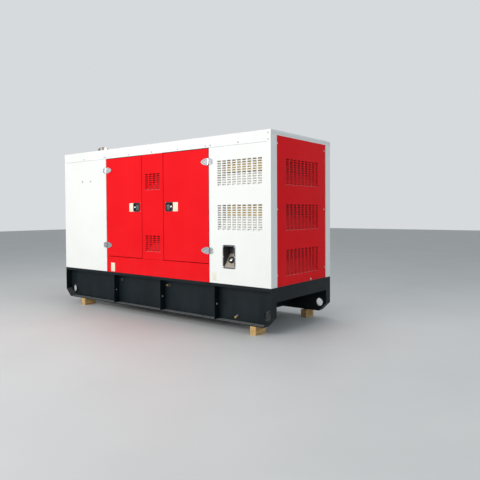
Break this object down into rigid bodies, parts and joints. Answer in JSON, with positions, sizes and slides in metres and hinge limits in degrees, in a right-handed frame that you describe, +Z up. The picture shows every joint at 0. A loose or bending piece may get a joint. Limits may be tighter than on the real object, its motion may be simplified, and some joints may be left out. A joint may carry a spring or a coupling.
{
  "type": "canopied gas turbine generating set",
  "caption": "Long sheet-metal enclosure with red doors and vents on a channel-rail base and timber blocks, housing a turbine-driven generator.",
  "frame": {"origin": "centre of the footprint on the floor, under the timber blocks", "axes": "+X along the set to the end with the filler, -Y the front with the doors that open, +Z up"},
  "size_m": [3.47, 1.234, 2.17],
  "materials": {
    "timber": "rough",
    "base_paint": "gloss",
    "white_paint": "satin",
    "red_paint": "gloss",
    "foam": "matt",
    "dark_foam": "matt",
    "frame_paint": "satin",
    "black_plastic": "matt",
    "hinge_metal": "polished",
    "outlet_steel": "brushed",
    "machine_paint": "satin",
    "cast_metal": "rough",
    "turbine_metal": "brushed",
    "hot_metal": "dull",
    "cabinet_paint": "satin",
    "battery_case": "matt",
    "filler_plate": "satin"
  },
  "bodies": {
    "enclosure": {"timber_blocks": "timber", "front_rail": "base_paint", "back_rail": "base_paint", "end_beams": "base_paint", "fuel_tank": "base_paint", "deck": "base_paint", "corner_posts": "white_paint", "door_posts": "frame_paint", "top_rails": "frame_paint", "roof": "white_paint", "linings": "foam", "front_left_panel": "white_paint", "front_right_panel": "white_paint", "front_centre_panel": "red_paint", "front_sill": "red_paint", "back_white_panels": "white_paint", "back_red_panels": "red_paint", "back_doors": "red_paint", "back_hinges": "hinge_metal", "back_locks": "black_plastic", "left_end_panel": "red_paint", "right_end_panel": "red_paint", "white_vent_pockets": "white_paint", "vent_foam": "foam", "red_vent_pockets": "red_paint", "red_vent_foam": "dark_foam", "filler_recess": "black_plastic", "filler_back": "filler_plate", "fuel_cap": "black_plastic", "roof_outlet": "outlet_steel", "door_hinge_frames": "hinge_metal", "machine_skid": "frame_paint", "generator": "machine_paint", "gearbox": "cast_metal", "turbine": "turbine_metal", "intake_housing": "cabinet_paint", "exhaust_duct": "hot_metal", "silencer": "hot_metal", "control_cabinet": "cabinet_paint", "batteries": "battery_case"},
    "left_door": {"left_door": "red_paint", "left_door_lining": "foam", "left_door_hinges": "hinge_metal", "left_lock": "black_plastic"},
    "left_paddle": {"left_paddle": "black_plastic"},
    "right_door": {"right_door": "red_paint", "right_door_lining": "foam", "right_door_hinges": "hinge_metal", "right_lock": "black_plastic"},
    "right_paddle": {"right_paddle": "black_plastic"}
  },
  "joints": [
    {"name": "left_door_hinge", "type": "hinge", "parent": "enclosure", "child": "left_door", "pos_m": [-0.821, -0.609, 1.3], "axis": [0, 0, -1], "range_deg": [0, 120]},
    {"name": "right_door_hinge", "type": "hinge", "parent": "enclosure", "child": "right_door", "pos_m": [0.93, -0.609, 1.3], "axis": [0, 0, 1], "range_deg": [0, 120]},
    {"name": "left_paddle_pull", "type": "hinge", "parent": "left_door", "child": "left_paddle", "pos_m": [-0.236, -0.598, 1.333], "axis": [-1, 0, 0], "range_deg": [0, 30], "stiffness_Nm_per_rad": 0.3, "springref_deg": -5.73},
    {"name": "right_paddle_pull", "type": "hinge", "parent": "right_door", "child": "right_paddle", "pos_m": [0.322, -0.598, 1.333], "axis": [-1, 0, 0], "range_deg": [0, 30], "stiffness_Nm_per_rad": 0.3, "springref_deg": -5.73}
  ]
}
